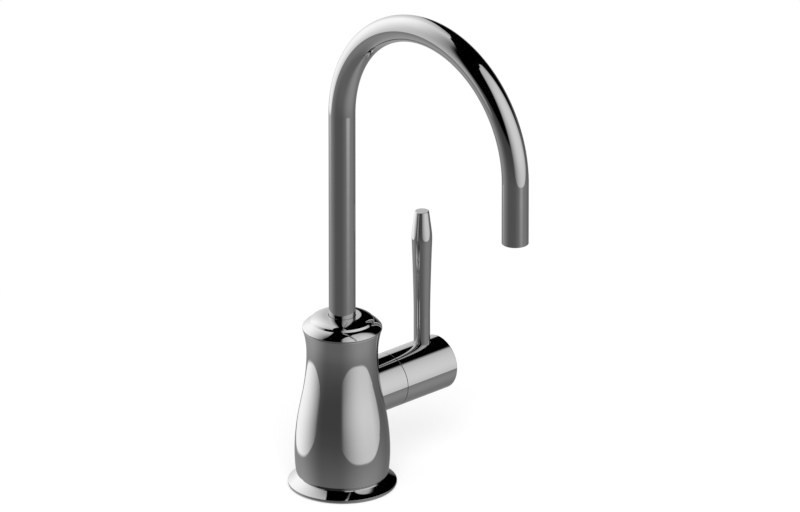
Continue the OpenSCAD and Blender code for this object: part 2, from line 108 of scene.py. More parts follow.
# Points and normals of a profile from corners (radius, distance along the axis, rounding). A rounded
# corner becomes an arc tangent to both sides, a corner without rounding is a point of a smooth curve.
# The solid is on the left of the walk, so the normal is the walk's direction turned a quarter right.
def profile(corners, closed=True):
    corners = np.array(corners, float)
    points = corners[:, :2]
    before = points - np.roll(points, 1, 0)
    after = np.roll(points, -1, 0) - points
    if not closed:
        before[0] = after[0]
        after[-1] = before[-1]
    before /= np.linalg.norm(before, axis=1)[:, None]
    after /= np.linalg.norm(after, axis=1)[:, None]
    turn = np.arctan2(before[:, 0] * after[:, 1] - before[:, 1] * after[:, 0], (before * after).sum(1))
    allPoints = []
    allNormals = []
    for point, ahead, bend, rounding in zip(points, before, turn, corners[:, 2]):
        start = math.atan2(-ahead[0], ahead[1])
        if rounding == 0:
            heading = np.array([start + bend / 2])
            centre = point
        else:
            heading = start + np.linspace(0, bend, cornerSteps + 1)
            setBack = rounding * math.tan(abs(bend) / 2)
            centre = point - ahead * setBack
            centre = centre - math.copysign(rounding, bend) * np.array([math.cos(start), math.sin(start)])
        normals = np.stack([np.cos(heading), np.sin(heading)], 1)
        allPoints.append(centre + math.copysign(rounding, bend) * normals)
        allNormals.append(normals)
    return np.concatenate(allPoints), np.concatenate(allNormals)


# Points, normals and faces of one piece, gathered before its mesh is made
def newGrid():
    return {"points": [], "normals": [], "quads": [], "triangles": [], "count": 0}


# Adds rows of points with their normals, and gives back their numbers in the same rows
def addPoints(grid, points, normals):
    index = grid["count"] + np.arange(points[..., 0].size).reshape(points.shape[:-1])
    grid["points"].append(points.reshape(-1, 3))
    grid["normals"].append(normals.reshape(-1, 3))
    grid["count"] += index.size
    return index


# Quads between neighbouring rows of points, each row a ring. A looped grid joins its last row to its first.
def bridge(grid, index, looped=False, keep=None):
    rows = index if looped else index[:-1]
    nextRows = np.roll(index, -1, 0) if looped else index[1:]
    quads = np.stack([rows, np.roll(rows, -1, 1), np.roll(nextRows, -1, 1), nextRows], -1)
    grid["quads"].append(quads.reshape(-1, 4) if keep is None else quads[keep])


# Triangles from a ring to one point on the axis, in front of the rings or after them
def closePole(grid, ring, point, normal, first):
    pole = addPoints(grid, point[None], normal[None])
    onward = np.roll(ring, -1)
    order = [pole + 0 * ring, onward, ring] if first else [ring, onward, pole + 0 * ring]
    grid["triangles"].append(np.stack(order, -1))


# Mesh from a grid, without the points no face uses. With an angle it is smooth up to that angle, else it has
# the normals it was given.
def addMesh(name, grid, smoothAngle=None):
    quads = np.concatenate(grid["quads"])
    triangles = np.concatenate(grid["triangles"] + [np.zeros((0, 3), int)])
    used = np.zeros(grid["count"], bool)
    used[quads] = True
    used[triangles] = True
    number = np.cumsum(used) - 1
    quads = number[quads]
    triangles = number[triangles]
    points = np.concatenate(grid["points"])[used]
    normals = np.concatenate(grid["normals"])[used]
    normals = normals / np.linalg.norm(normals, axis=1)[:, None]
    corners = np.concatenate([quads.ravel(), triangles.ravel()])
    starts = np.concatenate([4 * np.arange(len(quads)), quads.size + 3 * np.arange(len(triangles))])
    mesh = bpy.data.meshes.new(name)
    mesh.vertices.add(len(points))
    mesh.vertices.foreach_set("co", (points * mm).astype(np.float32).ravel())
    mesh.loops.add(len(corners))
    mesh.loops.foreach_set("vertex_index", corners.astype(np.int32))
    mesh.polygons.add(len(starts))
    mesh.polygons.foreach_set("loop_start", starts.astype(np.int32))
    mesh.update(calc_edges=True)
    mesh.shade_smooth()
    if smoothAngle is None:
        mesh.normals_split_custom_set_from_vertices(normals.astype(np.float32))
    else:
        mesh.set_sharp_from_angle(angle=math.radians(smoothAngle))
    obj = bpy.data.objects.new(name, mesh)
    bpy.context.scene.collection.objects.link(obj)
    return obj


# A made piece stands for CAD nodes, rides with a body and has a slot for its material
def stands(obj, bodyName, slotName, *cadNodes):
    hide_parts(*cadNodes)
    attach(obj, bodyName)
    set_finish(obj, slotName)
    return obj


# Opens a round hole in a turned surface. A block of the surface's cells is left out. Rings of points lead
# from the block's edge to the mouth, each a straight mix of the two in angle and in distance along the
# axis, and then down the hole's own profile to its floor. The block is as many columns and as long, on
# either side of the hole's angle and place, as the hole says, where the surface is outside a radius.
def pierce(grid, index, points, normals, axis, hole):
    segments = index.shape[1]
    near = abs(points[:, 1] - hole["at"]) <= hole["halfLength"]
    rows = np.flatnonzero(near & (points[:, 0] > hole["outside"]))
    low, high = rows[0], rows[-1]
    half = hole["halfColumns"]
    middle = round(hole["angle"] / 360 * segments)
    across = np.arange(-half, half)
    upward = np.arange(low, high)
    loopRow = np.concatenate([0 * across + low, upward, 0 * across + high, upward[::-1] + 1])
    loopColumn = np.concatenate([across, 0 * upward + half, -across, 0 * upward - half])
    loop = index[loopRow, (middle + loopColumn) % segments]
    keep = np.ones((len(points) - 1, segments), bool)
    keep[np.ix_(upward, (middle + across) % segments)] = False

    edgeAngle = 2 * math.pi * (middle + loopColumn) / segments
    edgeDistance = points[loopRow, 1]
    heading = np.arctan2((edgeDistance - hole["at"]) / hole["halfLength"], loopColumn / half)
    heading += math.radians(hole["headingTurn"])
    mouthAngle, mouthDistance = hole["mouth"](hole["r"] + hole["edge"], heading)[:2]
    share = np.linspace(1, 0, hole["rings"] + 1)[1:, None]
    angle = edgeAngle * share + mouthAngle * (1 - share)
    distance = edgeDistance * share + mouthDistance * (1 - share)
    side = slice(low, high + 1)
    radius = np.interp(distance, points[side, 1], points[side, 0])
    outward = np.interp(distance, points[side, 1], normals[side, 0])
    forward = np.interp(distance, points[side, 1], normals[side, 1])
    ringPoints = placed(axis, radius, distance, angle)
    ringNormals = directed(axis, outward, forward, angle)

    turn = np.linspace(0, math.pi / 2, lipSteps + 1)[1:, None]
    lipR = hole["r"] + hole["edge"] * (1 - np.sin(turn))
    lipDepth = hole["mouth"](lipR, heading)[2] - hole["edge"] * (1 - np.cos(turn))
    lipPoints = placed(hole["axis"], lipR, lipDepth, heading)
    lipNormals = np.cos(turn)[..., None] * ringNormals[-1]
    lipNormals = lipNormals + np.sin(turn)[..., None] * directed(hole["axis"], -1.0, 0.0, heading)
    wall, wallNormals = profile(hole["wall"], closed=False)
    wallPoints = placed(hole["axis"], wall[:-1, :1], wall[:-1, 1:], heading)
    wallNormals = directed(hole["axis"], wallNormals[:-1, :1], wallNormals[:-1, 1:], heading)
    ringIndex = addPoints(
        grid, np.concatenate([ringPoints, lipPoints, wallPoints]),
        np.concatenate([ringNormals, lipNormals, wallNormals]))
    bridge(grid, np.concatenate([loop[None], ringIndex]))
    deepest = placed(hole["axis"], 0.0, wall[-1, 1], 0.0)
    closePole(grid, ringIndex[-1], deepest, hole["axis"][1], first=False)
    return keep


# Turns a profile round an axis. A profile that starts and ends on the axis is closed by two poles,
# any other runs back into itself. Holes are opened on the way.
def turnedPiece(name, corners, axis, segments, holes=()):
    solid = corners[0][0] == 0
    points, normals = profile(corners, closed=not solid)
    poles = points[[0, -1]]
    if solid:
        points, normals = points[1:-1], normals[1:-1]
    angle = 2 * math.pi * np.arange(segments) / segments
    grid = newGrid()
    index = addPoints(
        grid, placed(axis, points[:, :1], points[:, 1:], angle),
        directed(axis, normals[:, :1], normals[:, 1:], angle))
    keep = np.ones((len(points) - 1, segments), bool)
    for hole in holes:
        keep &= pierce(grid, index, points, normals, axis, hole)
    if solid:
        bridge(grid, index, keep=keep)
        closePole(grid, index[0], placed(axis, 0.0, poles[0, 1], 0.0), -axis[1], first=True)
        closePole(grid, index[-1], placed(axis, 0.0, poles[1, 1], 0.0), axis[1], first=False)
    else:
        bridge(grid, index, looped=True)
    return addMesh(name, grid)


# Row of smooth profile points from arrays of radius and distance
def smoothRun(radius, distance):
    radius, distance = np.broadcast_arrays(radius, distance)
    return np.stack([radius, distance, 0 * distance], 1)


# Smooth run along an arc from a point, between two angles of its normal in degrees: the point, plus the
# radius times the change of the angle's cosine and sine. A negative radius makes the arc hollow.
def arcFrom(point, radius, start, end, count):
    angle = np.radians(np.linspace(start, end, count))
    across = np.cos(angle) - np.cos(angle[0])
    upward = np.sin(angle) - np.sin(angle[0])
    return smoothRun(point[0] + radius * across, point[1] + radius * upward)


# A run without some of its first and last points, which leaves room for rounded corners at its ends
def trimmed(run, first, last):
    return run[first:len(run) - last]


# Radius of an arc that leaves the upright and moves aside by step over a given rise
def arcRadius(step, rise):
    return (step * step + rise * rise) / (2 * step)


bell = {
    "foot": (21.9, boxMm("base_ring")[1][2]), "belly": (22.65, 17.5),
    "waist": (16.95, 67.1), "top": (18.8, boxMm("body_shell")[1][2]),
    "registerR": 16.0, "registerZ": boxMm("body_shell")[0][2],
    "shankR": 5.615, "shankTop": boxMm("shank")[1][2], "inletR": 3.0,
    "ledgeZ": boxMm("lower_slip_ring")[0][2], "socketR": 7.65, "socketZ": 56.26,
    "seatX": boxMm("seat_seal")[0][0],
    "pocketWall": 1.0,  # how far above the pocket's floor its wall's profile starts
    "footEdge": 0.1, "topEdge": 0.2, "insideEdge": 0.2, "soften": 6.0,
    "clear": 0.4,  # what the smooth side leaves at each end for a rounded corner
    "rows": 200, "segments": 256,
}


# Four arcs by height that meet upright at belly and waist and slope alike between them
def bellArcs(z):
    footR, footZ = bell["foot"]
    bellyR, bellyZ = bell["belly"]
    waistR, waistZ = bell["waist"]
    topR, topZ = bell["top"]
    footArc = arcRadius(bellyR - footR, bellyZ - footZ)
    sideArc = arcRadius(bellyR - waistR, waistZ - bellyZ) / 2
    flareArc = arcRadius(topR - waistR, topZ - waistZ)
    lower = np.where(z < bellyZ, footArc, sideArc)
    upper = np.where(z < waistZ, sideArc, flareArc)
    bulging = bellyR - lower + np.sqrt(np.maximum(lower ** 2 - (z - bellyZ) ** 2, 0))
    hollow = waistR + upper - np.sqrt(np.maximum(upper ** 2 - (z - waistZ) ** 2, 0))
    return np.where(z < (bellyZ + waistZ) / 2, bulging, hollow)


# The bell's radius: a running mean of the arcs where they change over, which narrows to nothing at belly
# and waist
def bellRadius(z):
    inside = np.minimum(z - bell["belly"][1], bell["waist"][1] - z)
    reach = np.clip(inside / 2, 0, bell["soften"])[..., None]
    return bellArcs(z[..., None] + reach * np.linspace(-1, 1, meanPoints)).mean(-1)


# Where a circle of radius r round the horn's axis meets the bell: angle and height on the bell, and the
# distance out along the horn
def hornMouth(r, heading):
    across = r * np.cos(heading)
    height = hornZ + r * np.sin(heading)
    around = bellRadius(height)
    angle = np.arcsin(across / around)
    return angle, height, around * np.cos(angle)


# The bell turned round the upright axis, open below for the shank and above for the cap and spout, with the
# horn's pocket in its side
def makeBody():
    edge = bell["insideEdge"]
    seatR = cap["skirtR"] + fitGap
    footR, footZ = bell["foot"]
    topR, topZ = bell["top"]
    z = np.linspace(footZ + bell["clear"], topZ - bell["clear"], bell["rows"])
    corners = np.concatenate([
        [(0, hornZ, 0), (bell["inletR"], hornZ, edge)],
        [(bell["inletR"], bell["shankTop"], edge), (bell["shankR"], bell["shankTop"], edge)],
        [(bell["shankR"], bell["registerZ"], edge), (bell["registerR"], bell["registerZ"], edge)],
        [(bell["registerR"], footZ, edge), (footR, footZ, bell["footEdge"])],
        smoothRun(bellRadius(z), z),
        [(topR, topZ, bell["topEdge"]), (seatR, topZ, edge)],
        [(seatR, bell["ledgeZ"], edge), (bell["socketR"], bell["ledgeZ"], edge)],
        [(bell["socketR"], bell["socketZ"], edge), (0, bell["socketZ"], 0)],
    ])
    pocketR = horn["r"] + fitGap
    pocket = {
        "axis": hornAxis, "mouth": hornMouth, "headingTurn": 0, "r": pocketR, "edge": 0.12, "rings": 24,
        "angle": 0, "at": hornZ, "halfColumns": 43, "halfLength": 19.0, "outside": 15.0,
        "wall": [
            (pocketR, horn["pocket"] + bell["pocketWall"], 0), (pocketR, horn["pocket"], edge),
            (horn["boreR"], horn["pocket"], edge), (horn["boreR"], bell["seatX"], edge),
            (0, bell["seatX"], 0)],
    }
    obj = turnedPiece("bodyShell", corners, uprightAxis, bell["segments"], [pocket])
    return stands(obj, "body", "chrome", "body_shell")


horn = {
    "r": (hornHigh[1] - hornLow[1]) / 2, "pocket": hornLow[0], "seam": hornHigh[0],
    "boreR": 8.96, "threadR": 10.2, "shoulder": 25.0, "edge": 0.2, "seamEdge": 0.05, "segments": 256,
}


# A sleeve turned round the horn's axis, wider inside at its open end for the gland's thread
def makeHorn():
    edge = horn["edge"]
    corners = [
        (horn["boreR"], horn["pocket"], edge), (horn["r"], horn["pocket"], edge),
        (horn["r"], horn["seam"], horn["seamEdge"]), (horn["threadR"], horn["seam"], edge),
        (horn["threadR"], horn["shoulder"], edge), (horn["boreR"], horn["shoulder"], edge)]
    obj = turnedPiece("valveHousing", corners, hornAxis, horn["segments"])
    return stands(obj, "body", "chrome", "valve_housing")


capLow, capHigh = boxMm("top_cap")
cap = {
    "r": capHigh[0], "rimZ": 80.4, "topZ": capHigh[2], "levelR": 8.6, "domeR": 10.6, "domeEnd": 55.0,
    "stepR": 15.2, "stepZ": 83.6, "stepEdge": 0.2, "shoulderStart": 62.0,
    "seatZ": bell["top"][1], "skirtR": 13.0, "skirtZ": capLow[2], "flangeR": 10.8,
    "flangeZ": boxMm("upper_slip_ring")[1][2], "sleeveR": 8.15, "sleeveZ": 82.15, "holeR": 6.5,
    "rimEdge": 0.35, "holeEdge": 0.12, "edge": 0.1, "arcPoints": 40, "domeTrim": (0, 3),
    "shoulderTrim": (3, 4), "segments": 256,
}


# The dome is an arc from the level middle to a small steep step. Below the step a rounded shoulder runs to
# the rim, an arc as well: the normal of its chord lies midway between the normals at its two ends.
def makeCap():
    edge = cap["edge"]
    start = cap["shoulderStart"]
    dome = arcFrom((cap["levelR"], cap["topZ"]), cap["domeR"], 90, cap["domeEnd"], cap["arcPoints"])
    run = cap["r"] - cap["stepR"]
    drop = cap["stepZ"] - cap["rimZ"]
    end = 2 * math.degrees(math.atan2(run, drop)) - start
    shoulderR = run / (math.cos(math.radians(end)) - math.cos(math.radians(start)))
    shoulder = arcFrom((cap["stepR"], cap["stepZ"]), shoulderR, start, end, cap["arcPoints"])
    corners = np.concatenate([
        [(cap["flangeR"], cap["flangeZ"], edge), (cap["flangeR"], cap["skirtZ"], edge)],
        [(cap["skirtR"], cap["skirtZ"], edge), (cap["skirtR"], cap["seatZ"], edge)],
        [(cap["r"], cap["seatZ"], edge), (cap["r"], cap["rimZ"], cap["rimEdge"])],
        trimmed(shoulder, *cap["shoulderTrim"])[::-1],
        [(cap["stepR"], cap["stepZ"], cap["stepEdge"] / 2), (*dome[-1, :2], cap["stepEdge"])],
        trimmed(dome, *cap["domeTrim"])[::-1],
        [(cap["holeR"], cap["topZ"], cap["holeEdge"]), (cap["holeR"], cap["sleeveZ"], edge)],
        [(cap["sleeveR"], cap["sleeveZ"], edge), (cap["sleeveR"], cap["flangeZ"], edge)],
    ])
    obj = turnedPiece("topCap", corners, uprightAxis, cap["segments"])
    return stands(obj, "body", "chrome", "top_cap")


base = {
    "r": boxMm("base_ring")[1][0], "h": boxMm("base_ring")[1][2], "rimR": 1.2, "rimBand": 0.55,
    "rimEdge": 0.08, "slopeR": 50.0, "slopeFoot": 58.2, "slopeHead": 52.5, "slopeEdge": 0.15,
    "landR": 19.8, "landEdge": 0.05,
    "boreR": bell["registerR"] + fitGap, "grooveIn": 18.94, "grooveOut": 23.06,
    "grooveZ": boxMm("base_gasket")[1][2], "edge": 0.1, "arcPoints": 24, "slopeTrim": (1, 2),
    "segments": 256,
}


# The rim is rounded below, upright and then broken by a small edge. A hollow arc rises from it, and a steeper
# band leads from the arc's head to the land that the body stands on, a little under the body's foot.
def makeBase():
    edge = base["edge"]
    count = base["arcPoints"]
    bandTop = (base["r"], base["rimR"] + base["rimBand"])
    under = arcFrom((base["r"] - base["rimR"], 0), base["rimR"], -90, 0, count)
    over = arcFrom(bandTop, base["rimEdge"], 0, base["slopeFoot"], count)
    slope = arcFrom(over[-1], -base["slopeR"], base["slopeFoot"], base["slopeHead"], count)
    corners = np.concatenate([
        [(base["boreR"], 0, edge), (base["grooveIn"], 0, edge)],
        [(base["grooveIn"], base["grooveZ"], edge), (base["grooveOut"], base["grooveZ"], edge)],
        [(base["grooveOut"], 0, edge)],
        under, over, trimmed(slope, *base["slopeTrim"]),
        [(*slope[-1, :2], base["slopeEdge"]), (base["landR"], base["h"], base["landEdge"])],
        [(base["boreR"], base["h"], edge)],
    ])
    obj = turnedPiece("baseRing", corners, uprightAxis, base["segments"])
    return stands(obj, "body", "chrome", "base_ring")


spoutLow, spoutHigh = boxMm("spout_tube")
spout = {
    "r": spoutHigh[0], "wall": 1.0, "reach": -spoutLow[1] - spoutHigh[0], "topZ": spoutHigh[2],
    "footZ": spoutLow[2], "drop": 30.2, "outsideEdge": 0.12, "insideEdge": 0.3, "edge": 0.2,
    "endClear": 1.0, "bendRows": 200, "straightRows": 12, "segments": 96,
}


# The tube's profile, outside and bore, carried along riser, half-turn bend and outlet. A point's place is
# its radius across the path's frame, whose one side lies along X and whose other points into the bend.
def makeSpout():
    bend = spout["reach"] / 2
    spring = spout["topZ"] - spout["r"] - bend
    rise = spring - spout["footZ"]
    half = math.pi * bend
    end = rise + half + spout["drop"]
    boreR = spout["r"] - spout["wall"]
    run = np.concatenate([
        np.linspace(spout["endClear"], rise, spout["straightRows"], endpoint=False),
        np.linspace(rise, rise + half, spout["bendRows"], endpoint=False),
        np.linspace(rise + half, end - spout["endClear"], spout["straightRows"])])
    corners = np.concatenate([
        [(spout["r"], 0, spout["edge"])],
        smoothRun(spout["r"], run),
        [(spout["r"], end, spout["outsideEdge"]), (boreR, end, spout["insideEdge"])],
        smoothRun(boreR, run)[::-1],
        [(boreR, 0, spout["edge"])],
    ])
    points, normals = profile(corners)
    angle = 2 * math.pi * np.arange(spout["segments"]) / spout["segments"]
    along = points[:, 1:]
    turn = np.clip((along - rise) / bend, 0, math.pi)
    pathY = -bend + bend * np.cos(turn)
    pathZ = spring + bend * np.sin(turn) + np.minimum(along - rise, 0) - np.maximum(along - rise - half, 0)
    path = np.stack([0 * turn, pathY, pathZ], -1)
    inward = np.stack([0 * turn, -np.cos(turn), -np.sin(turn)], -1)
    onward = np.stack([0 * turn, -np.sin(turn), np.cos(turn)], -1)
    sideways = np.array([1.0, 0, 0])
    out = np.cos(angle)[None, :, None] * inward + np.sin(angle)[None, :, None] * sideways
    shell = path + points[:, :1, None] * out
    facing = normals[:, :1, None] * out + normals[:, 1:, None] * onward
    grid = newGrid()
    bridge(grid, addPoints(grid, shell, facing), looped=True)
    return stands(addMesh("spoutTube", grid), "spout", "chrome", "spout_tube")


lever = {
    "rootR": 3.9, "swellH": 27.0, "swellPower": 1.5, "wideR": 4.9, "wideH": 65.9, "breakR": 41.0,
    "tipR": 3.38, "topH": leverHigh[2] - hornZ, "seatH": 12.1, "studR": 2.5, "studH": leverLow[2] - hornZ,
    "tipEdge": 0.35, "edge": 0.15, "soften": 2.5, "rootClear": 0.5, "tipClear": 0.6, "spacing": 0.25,
    "segments": 128,
}


# Radius of the lever by height: a foot of one radius, a swelling that grows with a power of the height, an
# arc from the widest place and a straight taper that touches it
def leverRadius(height):
    centreR = lever["wideR"] - lever["breakR"]
    run = lever["tipR"] - centreR
    rise = lever["topH"] - lever["wideH"]
    touch = math.atan2(rise, run) - math.acos(lever["breakR"] / math.hypot(run, rise))
    touchH = lever["wideH"] + lever["breakR"] * math.sin(touch)
    share = np.clip((height - lever["swellH"]) / (lever["wideH"] - lever["swellH"]), 0, 1)
    swelling = lever["rootR"] + (lever["wideR"] - lever["rootR"]) * share ** lever["swellPower"]
    over = np.clip(height - lever["wideH"], 0, touchH - lever["wideH"])
    arc = centreR + np.sqrt(lever["breakR"] ** 2 - over ** 2)
    arc = arc - np.maximum(height - touchH, 0) * math.tan(touch)
    return np.where(height < lever["wideH"], swelling, arc)


# The rod on its stud, turned round the lever's axis. Its side is a running mean of the radius above, which
# softens the places where its parts join.
def makeLever():
    reach = lever["soften"]
    height = np.arange(
        lever["seatH"] + lever["rootClear"], lever["topH"] - lever["tipClear"], lever["spacing"])
    shift = np.linspace(-reach / 2, reach / 2, meanPoints)
    radius = leverRadius(height[:, None] + shift).mean(1)
    corners = np.concatenate([
        [(0, lever["studH"], 0), (lever["studR"], lever["studH"], lever["edge"])],
        [(lever["studR"], lever["seatH"], lever["edge"]), (lever["rootR"], lever["seatH"], lever["edge"])],
        smoothRun(radius, height),
        [(lever["tipR"], lever["topH"], lever["tipEdge"]), (0, lever["topH"], 0)],
    ])
    obj = turnedPiece("leverRod", corners, leverAxis, lever["segments"])
    return stands(obj, "handle", "chrome", "lever")


hub = {
    "r": (hubHigh[1] - hubLow[1]) / 2, "start": hubLow[0], "end": hubHigh[0], "endEdge": 0.5,
    "seamEdge": 0.05, "edge": 0.15, "cavityR": 10.9, "cavityEnd": 38.5, "boreR": 4.06, "boreEnd": 50.0,
    "studR": lever["studR"] + fitGap, "studFloor": 6.6, "grubR": 2.06, "grubFloor": 4.1,
    "leverWall": 0.25,  # how far above the lever's seat its hole's profile starts
    "grubWall": 1.5,  # how far inside the hub's side the grub hole's profile starts
    "startClear": 0.6, "endClear": 0.8, "rows": 80, "segments": 256,
}


# Where a circle of radius r round the lever's axis meets the hub: angle and distance on the hub, and height
def leverMouth(r, heading):
    across = r * np.sin(heading)
    angle = np.arccos(across / hub["r"])
    return angle, leverX + r * np.cos(heading), hub["r"] * np.sin(angle)


# The same for the grub screw's hole, which points down
def grubMouth(r, heading):
    across = -r * np.sin(heading)
    angle = np.arccos(across / hub["r"])
    return 2 * math.pi - angle, grubX + r * np.cos(heading), hub["r"] * np.sin(angle)


# A round bar turned round the horn's axis, hollow towards the horn, with the holes of lever and grub screw
def makeHub():
    edge = hub["edge"]
    x = np.linspace(hub["start"] + hub["startClear"], hub["end"] - hub["endClear"], hub["rows"])
    corners = np.concatenate([
        [(0, hub["boreEnd"], 0), (hub["boreR"], hub["boreEnd"], edge)],
        [(hub["boreR"], hub["cavityEnd"], edge), (hub["cavityR"], hub["cavityEnd"], edge)],
        [(hub["cavityR"], hub["start"], edge), (hub["r"], hub["start"], hub["seamEdge"])],
        smoothRun(hub["r"], x),
        [(hub["r"], hub["end"], hub["endEdge"]), (0, hub["end"], 0)],
    ])
    leverR = lever["rootR"] + fitGap
    leverHole = {
        "axis": leverAxis, "mouth": leverMouth, "headingTurn": -90, "r": leverR, "edge": 0.12, "rings": 10,
        "angle": 90, "at": leverX, "halfColumns": 22, "halfLength": 6.5, "outside": 12.0,
        "wall": [
            (leverR, lever["seatH"] + hub["leverWall"], 0), (leverR, lever["seatH"], edge),
            (hub["studR"], lever["seatH"], edge), (hub["studR"], hub["studFloor"], edge),
            (0, hub["studFloor"], 0)],
    }
    grubHole = {
        "axis": grubAxis, "mouth": grubMouth, "headingTurn": -90, "r": hub["grubR"], "edge": 0.2, "rings": 8,
        "angle": 270, "at": grubX, "halfColumns": 14, "halfLength": 4.0, "outside": 12.0,
        "wall": [
            (hub["grubR"], hub["r"] - hub["grubWall"], 0), (hub["grubR"], hub["grubFloor"], edge),
            (0, hub["grubFloor"], 0)],
    }
    obj = turnedPiece("handleHub", corners, hornAxis, hub["segments"], [leverHole, grubHole])
    return stands(obj, "handle", "chrome", "handle_hub")


shankLow, shankHigh = boxMm("shank")
shank = {
    "r": 5.555, "boreR": 3.4, "pitch": 25.4 / 24,  # 24 turns to an inch
    "threadDepth": 0.55, "crest": 0.14, "root": 0.14, "chamfer": 0.9,
    "reliefR": 5.2, "reliefLow": -37.5, "reliefHigh": -36.0, "reliefRun": 0.4, "reliefSlope": 2.0,
    "rowsPerTurn": 10, "segments": 60, "smoothAngle": 50,
}


# A screw thread: the radius falls and rises with the share of a pitch that height and angle make together,
# flat at crest and root, and the ends and the groove cut it down to cones and a neck
def makeShank():
    turns = (shankHigh[2] - shankLow[2]) / shank["pitch"]
    z = np.linspace(shankLow[2], shankHigh[2], round(turns * shank["rowsPerTurn"]))[:, None]
    angle = 2 * math.pi * np.arange(shank["segments"])[None, :] / shank["segments"]
    share = (z / shank["pitch"] - angle / (2 * math.pi)) % 1
    valley = abs(2 * share - 1)
    depth = np.clip((valley - shank["crest"]) / (1 - shank["crest"] - shank["root"]), 0, 1)
    radius = shank["r"] - shank["threadDepth"] * depth
    fromEnd = np.minimum(z - shankLow[2], shankHigh[2] - z)
    radius = np.minimum(radius, shank["r"] - shank["chamfer"] + fromEnd)
    fromGroove = np.maximum(shank["reliefLow"] - z, z - shank["reliefHigh"])
    outside = np.maximum(fromGroove + shank["reliefRun"], 0)
    radius = np.minimum(radius, shank["reliefR"] + shank["reliefSlope"] * outside)
    bore = np.full((2, 1), shank["boreR"])
    boreZ = np.array([[shankHigh[2]], [shankLow[2]]])
    radius = np.concatenate([radius, bore + 0 * angle])
    points = placed(uprightAxis, radius, np.concatenate([z, boreZ]), angle)
    grid = newGrid()
    bridge(grid, addPoints(grid, points, points), looped=True)
    obj = addMesh("threadedShank", grid, shank["smoothAngle"])
    return stands(obj, "body", "brass", "shank")


nutLow, nutHigh = boxMm("fixing_nut")
nut = {
    "acrossFlats": nutHigh[1] - nutLow[1], "boreR": shank["r"] + fitGap, "chamfer": 0.6,
    "faceShare": 0.95, "coneDepth": 2.2, "coneAngle": 30, "coneRows": 9, "conePower": 1.5,
    "segments": 96, "smoothAngle": 25,
}


# A hexagon by angle, cut at both faces by a cone, so that its corners show the usual arcs. The cone's rows
# lie closer towards the face, by a power of their share of its depth.
def makeNut():
    angle = 2 * math.pi * np.arange(nut["segments"])[None, :] / nut["segments"]
    flat = nut["acrossFlats"] / 2
    hexagon = flat / np.cos(angle % (math.pi / 3) - math.pi / 6)
    height = nutHigh[2] - nutLow[2]
    inset = nut["coneDepth"] * np.linspace(0, 1, nut["coneRows"])[:, None] ** nut["conePower"]
    cone = nut["faceShare"] * flat + inset / math.tan(math.radians(nut["coneAngle"]))
    side = np.minimum(hexagon, cone)
    bore = nut["boreR"] + 0 * angle
    halfRadius = np.concatenate([bore, bore + nut["chamfer"], side])
    halfZ = np.concatenate([[[nut["chamfer"]], [0]], inset])
    radius = np.concatenate([halfRadius, halfRadius[::-1]])
    z = np.concatenate([halfZ, height - halfZ[::-1]])
    points = placed(uprightAxis, radius, nutLow[2] + z, angle)
    grid = newGrid()
    bridge(grid, addPoints(grid, points, points), looped=True)
    obj = addMesh("fixingNut", grid, nut["smoothAngle"])
    return stands(obj, "body", "brass", "fixing_nut")


washer = {"boreR": 5.905, "segments": 128, "steelEdge": 0.25, "rubberEdge": 0.6}


# A flat ring turned round the upright axis, with its edges rounded
def makeWasher(name, node, slotName, edge):
    low, high = boxMm(node)
    corners = [
        (washer["boreR"], low[2], edge), (high[0], low[2], edge),
        (high[0], high[2], edge), (washer["boreR"], high[2], edge)]
    return stands(turnedPiece(name, corners, uprightAxis, washer["segments"]), "body", slotName, node)


makeBody()
makeHorn()
makeCap()
makeBase()
makeSpout()
makeLever()
makeHub()
makeShank()
makeNut()
makeWasher("steelWasher", "steel_washer", "steel", washer["steelEdge"])
makeWasher("rubberWasher", "rubber_washer", "rubber", washer["rubberEdge"])


# Nodes of a material or of the world, made by short calls: a value is set, a socket is linked
def newNode(tree, kind, settings=None, **inputs):
    made = tree.nodes.new("ShaderNode" + kind)
    for key, value in (settings or {}).items():
        setattr(made, key, value)
    for key, value in inputs.items():
        put(tree, made.inputs[key.replace("_", " ")], value)
    return made


def put(tree, socket, value):
    if isinstance(value, bpy.types.NodeSocket):
        tree.links.new(value, socket)
    else:
        socket.default_value = value


def newMaterial(name):
    material = bpy.data.materials.new(name)
    material.use_nodes = True
    tree = material.node_tree
    where = tree.nodes.new("ShaderNodeTexCoord").outputs["Object"]
    return material, tree, tree.nodes["Principled BSDF"], where


def noise(tree, where, scale, detail=2.0):
    return newNode(tree, "TexNoise", Vector=where, Scale=scale, Detail=detail).outputs["Fac"]


# A value from start to end turned into one from low to high, in a straight line. The ends are those that
# noise mostly keeps between, unless others are given.
def between(tree, value, low, high, start=0.3, end=0.7):
    made = newNode(tree, "MapRange", Value=value, From_Min=start, From_Max=end, To_Min=low, To_Max=high)
    return made.outputs["Result"]


# From the first colour to the second as the share goes from 0 to 1
def blendColours(tree, share, first, second):
    ramp = newNode(tree, "ValToRGB", Fac=share)
    ramp.color_ramp.elements[0].color = (*first, 1)
    ramp.color_ramp.elements[1].color = (*second, 1)
    return ramp.outputs["Color"]


# Mix of two shaders: the second shows as far as the share says
def mixed(tree, share, first, second):
    made = tree.nodes.new("ShaderNodeMixShader")
    for socket, value in zip(made.inputs, (share, first, second)):
        tree.links.new(value, socket)
    return made.outputs[0]


# Unevenness that only the light shows, its depth in millimetres
def bump(tree, shader, height, strength, depth):
    made = newNode(tree, "Bump", Height=height, Strength=strength, Distance=depth * mm)
    tree.links.new(made.outputs["Normal"], shader.inputs["Normal"])


